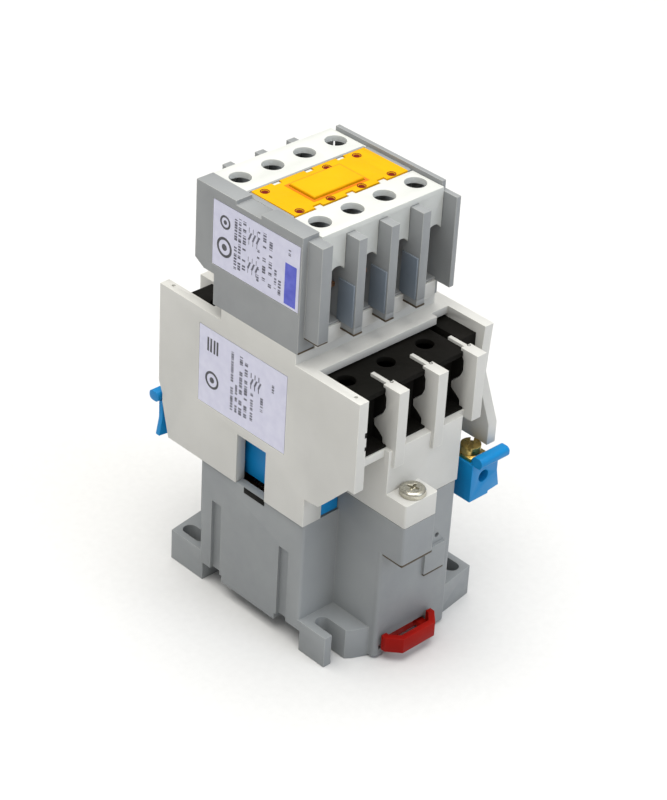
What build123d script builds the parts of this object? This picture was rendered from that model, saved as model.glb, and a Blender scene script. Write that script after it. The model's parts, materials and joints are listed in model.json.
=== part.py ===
from build123d import *
import os

# Magnetic motor starter: a rail-mounted three-pole contactor with a four-pole auxiliary
# contact block clipped on top.
# Working coordinates, in millimetres: x runs from the label side across the poles, y from
# the near terminal end to the far one, and z up from the mounting plane.  write_node moves
# everything so that the origin is under the middle of the contactor.

# ---------------------------------------------------------------- driving dimensions
WIDTH = 56.0                 # contactor across the poles
LENGTH = 78.0                # contactor from terminal end to terminal end
WALL = 3.2                   # side walls of the upper housing
GAP = 0.05                   # clearance of a screw in its hole

NOTCH_DEPTH = 6.5            # rail notch in the underside of the base
NOTCH_Y = (17.6, 58.8)
FOOT_TOP = 9.8
PARTING = 41.5               # side seam between base and upper housing
PILLAR_TOP = 48.3            # end seam, on top of the end columns
BODY_Y = (18.2, LENGTH - 18.2)
BODY_X = (0.4, WIDTH - 0.4)

COLUMN_X = (13.3, 40.8)      # central column of the near end
COLUMN_FRONT = 1.1
BOSS_X = (13.3, 25.2)        # screw boss, flush with one side of the column
BOSS_FRONT = -6.4
BOSS_SCREW = (19.25, -2.8)
BOSS_TOP = 55.6
BOSS_BOTTOM = 36.4

FLOOR_TOP = 69.0             # floor of the power terminal bays
FLOOR_THICK = 2.4
HOUSING_TOP = 89.6
RIB_TOP = 87.1
RIB_PITCH = 14.35
RIB_THICK = 3.5
RIB_FIRST_RIGHT = 3.6
RIB_EDGE = [(6.0, RIB_TOP), (6.0, 85.8), (4.7, 83.6), (4.6, 80.5), (5.6, 78.2), (8.4, 75.6),
            (8.4, 73.6), (6.6, 72.5), (5.0, 71.2)]
WEB_END = 12.0               # inner end of the part of a web that shows on top
SHROUD_FRONT = 5.0
SHROUD_LID = (85.1, 86.4)
SHROUD_WALL_Y = (8.9, 9.9)
SHROUD_FLOOR = (69.1, 69.7)
POLE_X = tuple(9.05 + RIB_PITCH * i for i in range(3))
TOP_PLATE_Y = (18.4, LENGTH - 18.4)
PLATFORM = ((0.0, 51.0), (24.0, 53.0), (HOUSING_TOP, 93.0))

TRAVEL = 5.4                 # stroke of armature and contacts
CENTRE_X = 28.0
CENTRE_Y = LENGTH / 2

CORE_X = (8.0, 48.0)
CORE_Y = (31.0, 47.0)
MID_LEG_X = (22.0, 34.0)
OUTER_LEG = 6.0
CORE_BOTTOM = 10.0
YOKE_TOP = 19.0
CORE_TOP = 38.0
ARMATURE_TIP = CORE_TOP + TRAVEL + 0.2
ARMATURE_YOKE = (56.2, 62.0)

BOBBIN_Z = (21.0, 50.0)
BOBBIN_DECK = 46.0
SPRING_SEAT = 46.8
EAR_X = (45.2, 55.5)         # coil terminal ear of the near end
EAR_Y = (-0.3, 8.6)
EAR_Z = (39.4, 51.4)
EAR_TIP = (56.6, 40.6)       # outer lower corner of the ear's front flange
EAR_SCREW = (49.2, 4.6)

AUX_X = (0.0, 51.0)
AUX_BODY_Y = (23.5, 64.0)
AUX_BOTTOM = 93.0
AUX_TOP = 127.2
AUX_MID_Y = 44.1
AUX_FIN_FRONT = 17.9
AUX_FIN_Z = (98.0, 124.1)
AUX_FIN_X = (15.9, 27.4, 38.8)
AUX_FIN_THICK = 2.9
AUX_COVER_X = (5.8, 49.4)
AUX_COVER_FRONT = 22.6
AUX_COVER_BACK = 34.2
AUX_FAR_COVER_EDGE = 51.7
AUX_COVER_TOP = 126.0
AUX_SCREW_X = tuple(10.9 + 11.43 * i for i in range(4))
AUX_SCREW_Y = 28.9
AUX_SCREW_HOLE_R = 3.1
AUX_TOP_CAP = ((7.6, 48.0), (34.6, 51.4))
AUX_CAP_TOP = 126.3
AUX_SLIDER = ((17.4, 35.2), (38.0, 47.4))
AUX_SOCKETS = ((35.9, (10.3, 21.2, 32.3, 43.2)), (49.1, (10.3, 32.3, 43.2)))
AUX_NOTCH_X = tuple(14.6 + 11.43 * i for i in range(3))
AUX_NOTCH_WIDTH = 2.8

AUX_BAR_Z = (108.0, 109.2)
AUX_TIP_TOP = 110.0
AUX_TIP_Y = 37.2
AUX_HEAD_TOP = 122.6         # screw heads, backed out as delivered
AUX_BRIDGE_TIP = AUX_TIP_TOP + TRAVEL + 0.2
AUX_BRIDGE_Z = (AUX_BRIDGE_TIP + 0.7, AUX_BRIDGE_TIP + 1.7)

CONTACT_Z = (70.4, 71.8)     # power terminal bars
TIP_TOP = 72.8
BRIDGE_TIP = TIP_TOP + TRAVEL + 0.2
BRIDGE_Z = (BRIDGE_TIP + 0.9, BRIDGE_TIP + 2.1)
TERMINAL_Y = 14.2
PAD_Y = 26.6

LATCH_X = (15.0, 34.0)

OUT = "parts"


# ---------------------------------------------------------------- helpers
def block(x, y, z):
    """Box between two corners, given as (low, high) pairs."""
    size = (x[1] - x[0], y[1] - y[0], z[1] - z[0])
    return Pos(x[0], y[0], z[0]) * Box(*size, align=(Align.MIN, Align.MIN, Align.MIN))


def rod(x, y, z, radius):
    """Upright cylinder between two heights."""
    return Pos(x, y, z[0]) * Cylinder(radius, z[1] - z[0], align=(Align.CENTER, Align.CENTER, Align.MIN))


def rod_y(x, y, z, radius):
    """Cylinder along y between two ends."""
    return Pos(x, y[0], z) * Rot(-90, 0, 0) * Cylinder(
        radius, y[1] - y[0], align=(Align.CENTER, Align.CENTER, Align.MIN))


def rod_x(x, y, z, radius):
    """Cylinder along x between two ends."""
    return Pos(x[0], y, z) * Rot(0, 90, 0) * Cylinder(
        radius, x[1] - x[0], align=(Align.CENTER, Align.CENTER, Align.MIN))


def side_plate(points, x):
    """Plate of constant thickness along x, outlined by (y, z) points."""
    face = make_face(Polyline(*[(0, y, z) for y, z in points], close=True))
    return Pos(x[0], 0, 0) * extrude(face, x[1] - x[0], dir=(1, 0, 0))


def turned(part):
    """Copy for the far end: half a turn about the upright centre line."""
    return Pos(WIDTH / 2, CENTRE_Y, 0) * Rot(0, 0, 180) * Pos(-WIDTH / 2, -CENTRE_Y, 0) * part


def mirrored(part, y=CENTRE_Y):
    """Copy for the far end: mirror image in an upright plane across the poles."""
    return mirror(part, Plane((0, y, 0), z_dir=(0, 1, 0)))


def both_ends(part):
    """A near-end feature together with its copy turned round to the far end."""
    return part + turned(part)


def joined(parts):
    """Separate solids kept together as one node."""
    return Compound([solid for part in parts for solid in part.solids()])


def write_node(name, part):
    """Write one node, moved so that the origin is under the contactor's middle."""
    solids = [Pos(-WIDTH / 2, -CENTRE_Y, 0) * solid for solid in part.solids()]
    export_step(solids[0] if len(solids) == 1 else Compound(solids), f"{OUT}/{name}.step")


def softened(part, radius, chooser):
    """Fillet the edges that chooser picks."""
    return fillet(chooser(part), radius)


# ---------------------------------------------------------------- base
def foot_flange():
    """Near label-side mounting flange, with its open screw slot."""
    outline = [(0.4, 7.6), (3.0, 7.6), (3.0, 10.5), (7.4, 10.5), (7.4, 6.8), (9.0, 5.6),
               (COLUMN_X[0] + 0.5, 3.4), (COLUMN_X[0] + 0.5, BODY_Y[0] + 1), (0.4, BODY_Y[0] + 1)]
    face = make_face(Polyline(*outline, close=True))
    flange = extrude(face, FOOT_TOP)
    slot = block((3.0, 7.4), (0.0, 13.6), (-1, FOOT_TOP + 1)) + rod(5.2, 13.6, (-1, FOOT_TOP + 1), 2.2)
    return flange - slot


def closed_foot():
    """Near mounting flange of the other side, whose screw slot is closed at both ends."""
    outline = [(COLUMN_X[1] - 0.5, 3.4), (WIDTH - 0.9, 5.6), (WIDTH - 0.9, BODY_Y[0] + 1),
               (COLUMN_X[1] - 0.5, BODY_Y[0] + 1)]
    flange = extrude(make_face(Polyline(*outline, close=True)), FOOT_TOP)
    slot = block((48.6, 53.0), (8.8, 13.6), (-1, FOOT_TOP + 1))
    return flange - slot - rod(50.8, 8.8, (-1, FOOT_TOP + 1), 2.2) - rod(50.8, 13.6, (-1, FOOT_TOP + 1), 2.2)


def end_column():
    """Column in the middle of the near end, hollow above the latch."""
    column = block(COLUMN_X, (COLUMN_FRONT, BODY_Y[0] + 1), (0.8, PILLAR_TOP))
    column = softened(column, 1.2, lambda p: p.edges().filter_by(Axis.Z).group_by(Axis.Y)[0])
    hollow_x = (COLUMN_X[0] + 2.2, COLUMN_X[1] - 2.2)
    column -= block(hollow_x, (COLUMN_FRONT + 2.2, BODY_Y[0]), (12.0, PILLAR_TOP + 1))
    pillar = block(BOSS_X, (BOSS_FRONT, COLUMN_FRONT + 2), (BOSS_BOTTOM, PILLAR_TOP))
    pillar = softened(pillar, 0.8, lambda p: p.edges().filter_by(Axis.Z).group_by(Axis.Y)[0])
    step = block((29.8, 37.6), (COLUMN_FRONT - 0.9, COLUMN_FRONT + 1), (21.8, 30.0))
    return column + pillar + step - rod_y(34.7, (COLUMN_FRONT - 1, COLUMN_FRONT + 1.6), 32.6, 0.8)


def base_housing():
    low, high = BODY_Y
    body = block(BODY_X, BODY_Y, (NOTCH_DEPTH, PARTING))
    body = softened(body, 1.0, lambda p: p.edges().filter_by(Axis.Z))
    half = end_column() + foot_flange() + closed_foot()
    body += half + turned(half)
    for face_x, out in ((BODY_X[0], 1), (BODY_X[1], -1)):
        for y in ((23.4, 27.4), (51.0, 55.0)):
            groove = (face_x - 1, face_x + 1.2) if out > 0 else (face_x - 1.2, face_x + 1)
            body -= block(groove, y, (0, 30.0))
        tongue = (face_x, face_x + 3.0) if out > 0 else (face_x - 3.0, face_x)
        body += block(tongue, (28.2, 50.2), (4.4, NOTCH_DEPTH + 1))
    cavity = block((BODY_X[0] + 2.6, BODY_X[1] - 2.6), (low + 2.6, high - 2.6), (8.6, PARTING + 1))
    body -= cavity
    body -= block((-5, WIDTH + 5), NOTCH_Y, (-1, 4.4))
    body -= block((BODY_X[0] + 3.0, BODY_X[1] - 3.0), NOTCH_Y, (-1, NOTCH_DEPTH))
    body -= block((-5, WIDTH + 5), (NOTCH_Y[0], 28.2), (-1, NOTCH_DEPTH))
    body -= block((-5, WIDTH + 5), (50.2, NOTCH_Y[1]), (-1, NOTCH_DEPTH))
    body += block((18.0, 38.0), (54.8, NOTCH_Y[1] + 1), (2.2, 4.8))
    channel = block((LATCH_X[0] + 1.2, LATCH_X[1] - 1.2), (-10, 24.0), (-1, 6.2))
    rails = block((LATCH_X[0] - 0.2, LATCH_X[1] + 0.2), (-10, 24.0), (2.7, 4.3))
    pocket = block((24.0, 27.0), (4.5, 19.8), (5.0, 9.4))
    body -= channel + rails + pocket
    body -= both_ends(rod(*BOSS_SCREW, (BOSS_BOTTOM + 2, PILLAR_TOP + 1), 2.0 + GAP))
    return body


def latch_handle():
    """Finger loop of the latch: a bow that stands out from the column."""
    x0, x1 = LATCH_X
    outer = [(x0, 0.4), (x0, -1.2), (x0 + 3.4, -4.9), (x1 - 3.4, -4.9), (x1, -1.2), (x1, 0.4)]
    x0, x1 = x0 + 1.8, x1 - 1.8
    inner = [(x0, 0.5), (x0, -0.6), (x0 + 2.4, -3.1), (x1 - 2.4, -3.1), (x1, -0.6), (x1, 0.5)]
    solid, opening = [make_face(Polyline(*points, close=True)) for points in (outer, inner)]
    return Pos(0, 0, 3.4) * (extrude(solid, 4.8) - extrude(opening, 5))


def rail_latch():
    """Slide with a finger loop, held in the side grooves of the base."""
    x0, x1 = LATCH_X
    plate = block((x0 + 1.5, x1 - 1.5), (3.0, 22.4), (1.8, 4.9))
    tongues = block((x0 + 0.2, x1 - 0.2), (3.0, 21.0), (3.0, 4.0))
    arm = block((x0 + 1.5, x0 + 4.0), (-2.6, 4.0), (3.4, 4.9))
    arms = arm + mirror(arm, Plane(((x0 + x1) / 2, 0, 0), z_dir=(1, 0, 0)))
    lug = block((24.3, 26.7), (18.9, 19.6), (4.8, 8.4))
    nose = side_plate([(19.5, 4.9), (22.4, 4.9), (22.4, 1.8)], (x0, x1))
    return plate + tongues + latch_handle() + arms + lug - nose


def coil_spring(x, y, z, radius, wire, turns):
    """Upright coil spring of round wire."""
    height = z[1] - z[0] - wire
    path = Helix(pitch=height / turns, height=height, radius=radius)
    start = path @ 0
    section = Plane(origin=start, z_dir=path % 0) * Circle(wire / 2)
    return Pos(x, y, z[0] + wire / 2) * sweep(section, path)


def latch_spring():
    """Small coil spring lying along y in the pocket above the latch."""
    spring = coil_spring(0, 0, (0, 9.0), 1.0, 0.36, 7)
    return Pos(25.5, 9.8, 7.0) * Rot(-90, 0, 0) * spring


# ---------------------------------------------------------------- upper housing
def rib_right(index):
    """Right-hand face of the rib between bay index - 1 and bay index."""
    return RIB_FIRST_RIGHT + RIB_PITCH * index


def rib_middle(index):
    """Middle of the thin web behind a rib."""
    return rib_right(index) - RIB_THICK / 2


def terminal_rib(index):
    """Rib between two bays: thick front part with a toothed inner edge, thin web behind."""
    right = rib_right(index)
    bottom = 66.8
    outline = [(0.0, bottom), (0.0, RIB_TOP)] + RIB_EDGE + [(4.8, bottom)]
    front = side_plate(outline, (right - RIB_THICK, right))
    front = softened(front, 0.7, lambda p: p.edges().filter_by(Axis.X).filter_by(
        lambda e: 70.5 < e.center().Z < 84 and e.center().Y > 4))
    web_x = (rib_middle(index) - 0.6, rib_middle(index) + 0.6)
    web = block(web_x, (4.0, 31.0), (FLOOR_TOP - 0.4, SHROUD_LID[0] - 0.1))
    return front + web + block(web_x, (4.0, WEB_END), (FLOOR_TOP - 0.4, RIB_TOP))


def side_walls():
    """Label-side wall and the shorter opposite wall, with their cut-back lower corners."""
    near = [(0, HOUSING_TOP), (0, 62.2), (2.4, 62.2), (12.8, 51.2), (18.2, 50.6), (18.2, PARTING)]
    far = [(LENGTH - 4.4, PARTING), (LENGTH - 1.6, 52.2), (LENGTH - 1.6, 54.9), (LENGTH, 58.4),
           (LENGTH, HOUSING_TOP)]
    wall = side_plate(near + far, (0, WALL))
    wall -= block((-1, WALL + 1), (33.6, 45.2), (PARTING - 1, 57.4))
    wall += block((0, 6.6), (18.2, 22.2), (PARTING, 50.4))
    short = [(6.6, HOUSING_TOP), (7.6, 74.0), (2.0, 60.5), (2.0, 54.0), (16.0, 54.0), (18.2, 51.6),
             (18.2, PARTING)]
    opposite = [(LENGTH - y, z) for y, z in reversed(short)]
    other = side_plate(short + opposite, (WIDTH - WALL, WIDTH))
    return wall + other


def apron():
    """Front skirt below the bays of the near end, with its screw boss."""
    low, high = COLUMN_X
    shell = block((low, high), (COLUMN_FRONT, 21.0), (PILLAR_TOP + 0.2, FLOOR_TOP))
    inside = (PILLAR_TOP - 1, FLOOR_TOP - FLOOR_THICK)
    shell -= block((low + 2.2, high - 2.2), (COLUMN_FRONT + 2.2, 22.0), inside)
    boss = block(BOSS_X, (BOSS_FRONT, COLUMN_FRONT + 1), (PILLAR_TOP + 0.2, BOSS_TOP))
    boss = softened(boss, 0.7, lambda p: p.edges().filter_by(Axis.Z).group_by(Axis.Y)[0])
    shell += boss
    shell -= rod(*BOSS_SCREW, (PILLAR_TOP - 1, BOSS_TOP + 1), 2.0 + GAP)
    return shell


def bay_floors():
    """Floor, end wall and ribs of the near end."""
    floor = block((WALL - 0.5, rib_right(3)), (3.0, 30.4), (FLOOR_TOP - FLOOR_THICK, FLOOR_TOP))
    inner = block((rib_right(3) - 1, WIDTH - WALL + 0.5), (17.0, 30.4), (FLOOR_TOP - FLOOR_THICK, FLOOR_TOP))
    end_wall = block((WALL - 0.5, WIDTH - WALL + 0.5), (20.2, 22.2), (51.0, FLOOR_TOP - 1))
    part = floor + inner + end_wall
    for index in (1, 2, 3):
        part += terminal_rib(index)
    for index in (1, 2):
        right = rib_right(index)
        part += block((right - RIB_THICK, right), (0.0, COLUMN_FRONT + 1), (64.0, FLOOR_TOP))
    return part


def upper_housing():
    part = side_walls()
    near = bay_floors()
    part += near + mirrored(near)
    part += both_ends(apron())
    top = block((WALL - 0.5, WIDTH - WALL + 0.5), TOP_PLATE_Y, (HOUSING_TOP - 2.4, HOUSING_TOP))
    notch_x = (rib_right(3) - 0.3, WIDTH - WALL)
    notch = block(notch_x, (TOP_PLATE_Y[0] - 1, 20.6), (HOUSING_TOP - 3, HOUSING_TOP + 1))
    part += top - notch - mirrored(notch) + block(*PLATFORM)
    part -= block((16.4, 40.6), (CENTRE_Y - 5.0, CENTRE_Y + 5.0), (HOUSING_TOP - 3, 94))
    part -= block((-1, 0.2), (26.6, 61.6), (60.4, 85.0))
    for y in (3.4, LENGTH - 3.4):
        part -= rod(1.9, y, (HOUSING_TOP - 1.5, HOUSING_TOP + 1), 0.55)
    return part


def shroud_comb():
    """Near-end black insert: one cup for each bay, joined by a lid that bridges the webs."""
    bottom, top = SHROUD_FLOOR[0], SHROUD_LID[1]
    comb = block((WALL + 0.1, rib_middle(3) - 0.75), (SHROUD_FRONT, 29.6), (bottom, top))
    comb += block((WALL + 0.1, rib_right(3) - RIB_THICK - 0.15), (3.4, SHROUD_FRONT + 1), SHROUD_FLOOR)
    clear = [(0.0, 60.0), (0.0, 90.0), (6.3, 90.0)] + [(y + 0.35, z) for y, z in RIB_EDGE[1:]] + [(5.3, 60.0)]
    left = WALL + 1.1
    for index in (1, 2, 3):
        right = rib_right(index)
        comb -= side_plate(clear, (right - RIB_THICK - 0.15, right + 0.15))
        web_x = (rib_middle(index) - 0.75, rib_middle(index) + 0.75)
        comb -= block(web_x, (3, WEB_END + 0.3), (bottom - 1, top + 1))
        comb -= block(web_x, (3, 31), (bottom - 1, SHROUD_LID[0]))
        bay = (left, right - RIB_THICK)
        comb -= block(bay, (3, SHROUD_WALL_Y[0]), (SHROUD_FLOOR[1], SHROUD_LID[0] - 0.2))
        comb -= block(bay, (SHROUD_WALL_Y[1], 31), (bottom - 1, SHROUD_LID[0] - 0.2))
        x = POLE_X[index - 1]
        comb -= block((x - 3.4, x + 3.4), (8, 11), (70.2, 75.2))
        comb -= rod(x, TERMINAL_Y, (SHROUD_LID[0] - 1, top + 1), 2.6)
        left = right
    return comb


def terminal_shroud():
    """Black insulating insert of each end, with a solid filler beside the last bay."""
    filler = block((rib_right(3) + 0.1, WIDTH - WALL - 0.1), (9.6, 22.0), (SHROUD_FLOOR[0], SHROUD_LID[1]))
    pieces = [shroud_comb(), filler]
    return joined(pieces + [mirrored(piece) for piece in pieces])


def housing_screws():
    """Pan-head screws that hold the upper housing down, one in each boss."""
    x, y = BOSS_SCREW
    head = rod(x, y, (BOSS_TOP, BOSS_TOP + 2.0), 3.6)
    head = softened(head, 1.0, lambda p: p.edges().group_by(Axis.Z)[-1])
    screw = head + rod(x, y, (BOSS_BOTTOM + 2.6, BOSS_TOP + 0.5), 2.0)
    for angle in (0, 90):
        screw -= Pos(x, y, BOSS_TOP + 2.0) * Rot(0, 0, angle + 20) * Box(3.4, 0.8, 2.4)
    return joined([screw, turned(screw)])


# ---------------------------------------------------------------- magnet and coil
def e_core(z_yoke, z_tips):
    """E-shaped iron core: yoke and three legs."""
    yoke = block(CORE_X, CORE_Y, z_yoke)
    legs = block((CORE_X[0], CORE_X[0] + OUTER_LEG), CORE_Y, z_tips)
    legs += block((CORE_X[1] - OUTER_LEG, CORE_X[1]), CORE_Y, z_tips)
    legs += block(MID_LEG_X, CORE_Y, z_tips)
    return yoke + legs


def fixed_core():
    core = e_core((CORE_BOTTOM, YOKE_TOP), (YOKE_TOP - 1, CORE_TOP))
    for x in (CORE_X[0] + 4.2, CORE_X[1] - 4.2 - 0.9):
        core -= block((x, x + 0.9), (CORE_Y[0] - 1, CORE_Y[1] + 1), (CORE_TOP - 2.2, CORE_TOP + 1))
    return core


def shading_rings():
    """Copper shading rings set into the outer legs of the fixed core."""
    rings = []
    for x0, x1 in ((CORE_X[0] - 1.3, CORE_X[0] + 5.0), (CORE_X[1] - 5.0, CORE_X[1] + 1.3)):
        ring = block((x0, x1), (CORE_Y[0] - 1.3, CORE_Y[1] + 1.3), (CORE_TOP - 2.1, CORE_TOP - 0.3))
        hole = (x0 + 1.25, x1 - 0.75) if x0 < CENTRE_X else (x0 + 0.75, x1 - 1.25)
        ring -= block(hole, (CORE_Y[0] - 0.05, CORE_Y[1] + 0.05), (CORE_TOP - 3, CORE_TOP + 1))
        rings.append(ring)
    return joined(rings)


def armature():
    return e_core(ARMATURE_YOKE, (ARMATURE_TIP, ARMATURE_YOKE[1] - 1))


def core_cushion():
    """Rubber pads under the fixed core."""
    pads = [block((x, x + 10), (CORE_Y[0], CORE_Y[1]), (8.6, CORE_BOTTOM)) for x in (9.0, 23.0, 37.0)]
    return joined(pads)


def ear():
    """Coil terminal ear of the near end: block with a wire hole, finger lip and arm."""
    inner = WIDTH - WALL - 0.3
    shape = block((EAR_X[0], inner), EAR_Y, EAR_Z)
    flange = [(EAR_X[0], EAR_Z[0]), EAR_TIP, (EAR_X[1], EAR_Z[0] + 6.4), (EAR_X[1], EAR_Z[1]),
              (EAR_X[0], EAR_Z[1])]
    face = make_face(Polyline(*[(x, EAR_Y[0], z) for x, z in flange], close=True))
    shape += extrude(face, 1.5, dir=(0, 1, 0))
    lip_z = (EAR_Z[1] - 0.2, EAR_Z[1] + 2.9)
    lip = block((EAR_X[0] + 0.4, EAR_TIP[0]), (EAR_Y[0] - 2.9, EAR_Y[0] + 0.9), lip_z)
    shape += softened(lip, 1.3, lambda p: p.edges().filter_by(Axis.X))
    shape += block((EAR_X[0] + 2.0, 52.4), (EAR_Y[1] - 1, 22.8), (BOBBIN_DECK, BOBBIN_Z[1]))
    shape -= rod_y(EAR_SCREW[0] + 0.8, (EAR_Y[0] - 1, EAR_SCREW[1] + 2.6), EAR_Z[0] + 6.9, 1.9)
    shape -= rod(*EAR_SCREW, (EAR_Z[0] + 4.4, EAR_Z[1] + 1), 1.5 + GAP)
    return shape


def coil_bobbin():
    """Blue coil former: tube, flanges, deck and the two terminal ears."""
    tube = block((MID_LEG_X[0] - 1.5, MID_LEG_X[1] + 1.5), (CORE_Y[0] - 1.5, CORE_Y[1] + 1.5), BOBBIN_Z)
    lower = block((14.8, 41.2), (22.0, 56.0), (BOBBIN_Z[0], BOBBIN_Z[0] + 1.5))
    deck = block((4.6, 51.4), (22.4, LENGTH - 22.4), (BOBBIN_DECK, BOBBIN_Z[1]))
    lips = block((7.0, 13.0), (18.6, 22.6), (42.0, 47.0)) + block((12.0, 48.0), (19.5, 22.6), (42.0, 47.0))
    tab = block((4.6, 6.4), (34.6, 46.4), (42.6, 54.6))
    tab = softened(tab, 2.0, lambda p: p.edges().filter_by(Axis.X).group_by(Axis.Z)[-1])
    bobbin = tube + lower + deck + lips + turned(lips) + tab + both_ends(ear())
    bobbin -= block((MID_LEG_X[0] - 0.4, MID_LEG_X[1] + 0.4), (CORE_Y[0] - 0.4, CORE_Y[1] + 0.4), (20, 51))
    for x0, x1 in ((CORE_X[0], CORE_X[0] + OUTER_LEG), (CORE_X[1] - OUTER_LEG, CORE_X[1])):
        bobbin -= block((x0 - 0.4, x1 + 0.4), (CORE_Y[0] - 0.4, CORE_Y[1] + 0.4), (20, 51))
    bobbin -= rod(CENTRE_X, CENTRE_Y, (SPRING_SEAT, 51), 12.8)
    return bobbin


def coil_winding():
    outer = block((15.4, 40.6), (22.6, LENGTH - 22.6), (BOBBIN_Z[0] + 1.5, BOBBIN_DECK))
    outer = softened(outer, 3.0, lambda p: p.edges().filter_by(Axis.Z))
    tube = ((MID_LEG_X[0] - 1.5, MID_LEG_X[1] + 1.5), (CORE_Y[0] - 1.5, CORE_Y[1] + 1.5))
    return outer - block(*tube, (20, 50))


def coil_terminal_screws():
    """Brass screws with square clamping plates on the coil ears."""
    x, y = EAR_SCREW
    screw = rod(x, y, (EAR_Z[1] + 1.0, EAR_Z[1] + 3.4), 2.9)
    screw += rod(x, y, (EAR_Z[0] + 5.6, EAR_Z[1] + 1.2), 1.5)
    screw += block((x - 3.2, x + 3.2), (y - 3.2, y + 3.2), (EAR_Z[1], EAR_Z[1] + 1.0))
    screw -= Pos(x, y, EAR_Z[1] + 3.4) * Rot(0, 0, 35) * Box(7, 0.9, 1.8)
    return joined([screw, turned(screw)])


def return_spring():
    return coil_spring(CENTRE_X, CENTRE_Y, (SPRING_SEAT + 0.1, ARMATURE_YOKE[0] - 0.1), 11.4, 1.0, 3)


# ---------------------------------------------------------------- power contacts
def fixed_contacts():
    """Terminal bars of the near end, each with its silver tip."""
    bars = []
    for x in POLE_X:
        bar = block((x - 3.6, x + 3.6), (TERMINAL_Y - 4.0, 29.0), CONTACT_Z)
        bar += block((x - 3.6, x + 3.6), (18.8, 20.4), (FLOOR_TOP, CONTACT_Z[1]))
        bar += rod(x, PAD_Y, (CONTACT_Z[1] - 0.2, TIP_TOP), 1.9)
        bar -= rod(x, TERMINAL_Y, (CONTACT_Z[0] - 1, CONTACT_Z[1] + 1), 2.0 + GAP)
        bars.append(bar)
    return bars


def clamp_plates():
    """Square saddle washers under the terminal screw heads of the near end."""
    plates = []
    for x in POLE_X:
        plate = block((x - 3.7, x + 3.7), (TERMINAL_Y - 3.7, TERMINAL_Y + 3.7), (74.0, 75.1))
        for side in (-3.7, 2.9):
            plate += block((x + side, x + side + 0.8), (TERMINAL_Y - 3.7, TERMINAL_Y + 3.7), (72.7, 74.5))
        plates.append(plate - rod(x, TERMINAL_Y, (72, 76), 2.0 + GAP))
    return plates


def terminal_screws():
    screws = []
    for x in POLE_X:
        screw = rod(x, TERMINAL_Y, (75.1, 78.0), 3.5) + rod(x, TERMINAL_Y, (69.3, 76.0), 2.0)
        for angle in (25, 115):
            screw -= Pos(x, TERMINAL_Y, 78.0) * Rot(0, 0, angle) * Box(4.4, 0.9, 2.4)
        screws.append(screw)
    return screws


def contact_carrier():
    """Black moving carrier with a window for each contact bridge and a drive peg on top."""
    body = block((5.4, 46.0), (CENTRE_Y - 4.6, CENTRE_Y + 4.6), (ARMATURE_YOKE[1], 86.6))
    for x in POLE_X:
        body -= block((x - 4.4, x + 4.4), (30, 48), (BRIDGE_TIP - 0.4, 85.4))
    body += block((22.0, 34.0), (CENTRE_Y - 3.0, CENTRE_Y + 3.0), (86, 98.2))
    return body


def moving_bridges():
    bridges = []
    for x in POLE_X:
        bridge = block((x - 3.4, x + 3.4), (PAD_Y - 2.2, LENGTH - PAD_Y + 2.2), BRIDGE_Z)
        for y in (PAD_Y, LENGTH - PAD_Y):
            bridge += rod(x, y, (BRIDGE_TIP, BRIDGE_Z[0] + 0.2), 1.8)
        bridges.append(bridge)
    return joined(bridges)


def contact_springs():
    return joined([coil_spring(x, CENTRE_Y, (BRIDGE_Z[1], 85.4), 2.2, 0.6, 4) for x in POLE_X])


# ---------------------------------------------------------------- labels
def contactor_label():
    return block((0.02, 0.18), (26.8, 61.4), (60.6, 84.8))


def aux_label():
    return block((0.02, 0.18), (24.2, 57.2), (105.2, 124.3))


# ---------------------------------------------------------------- auxiliary contact block
def aux_fin(x, y0, y1):
    return block((x - AUX_FIN_THICK / 2, x + AUX_FIN_THICK / 2), (y0, y1), AUX_FIN_Z)


def aux_housing():
    """Grey body of the auxiliary block, open at each terminal bay."""
    x0, x1 = AUX_X
    near, far = AUX_BODY_Y
    outline = [(near, AUX_BOTTOM), (56.4, AUX_BOTTOM), (56.4, 102.2), (60.4, 102.2), (far, 104.2),
               (far, AUX_TOP), (near, AUX_TOP)]
    part = side_plate(outline, (x0, 5.6))
    part += side_plate(outline, (49.6, x1))
    part += block((x0 + 1, x1 - 1), (near, 56.4), (AUX_BOTTOM, 96.0))
    part += block((2.0, 5.6), (AUX_FIN_FRONT + 0.4, near + 1), (97.6, AUX_FIN_Z[1] + 1.6))
    part += block((49.6, 51.2), (AUX_FIN_FRONT, near + 1), (97.6, AUX_FIN_Z[1] + 0.6))
    wall_near = block((5, 50), (34.4, 35.8), (95, 123.5))
    part += wall_near + mirrored(wall_near, AUX_MID_Y)
    part += block((5, 50), (near, 35.8), (96.0, 98.4))
    part += block((5, 50), (52.4, 60.0), (102.0, 104.4)) + block((5, 50), (52.4, 53.8), (95, 104.4))
    for x in AUX_FIN_X:
        fin = aux_fin(x, AUX_FIN_FRONT, 34.45)
        part += fin + (mirrored(fin, AUX_MID_Y) - block((0, 60), (50, 80), (90, 104.4)))
    part -= block((-1, 6), (39.0, 48.6), (AUX_TOP - 1.2, AUX_TOP + 1))
    part -= block((-1, 0.2), (24.0, 57.4), (105.0, 124.5))
    part -= block((16.0, 41.0), (CENTRE_Y - 4.2, 45.0), (AUX_BOTTOM - 1, 97))
    for x in AUX_SCREW_X:
        part -= block((x - 2.8, x + 2.8), (33, 55), (AUX_BAR_Z[0] - 0.1, AUX_TIP_TOP + 0.1))
    return part


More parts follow.
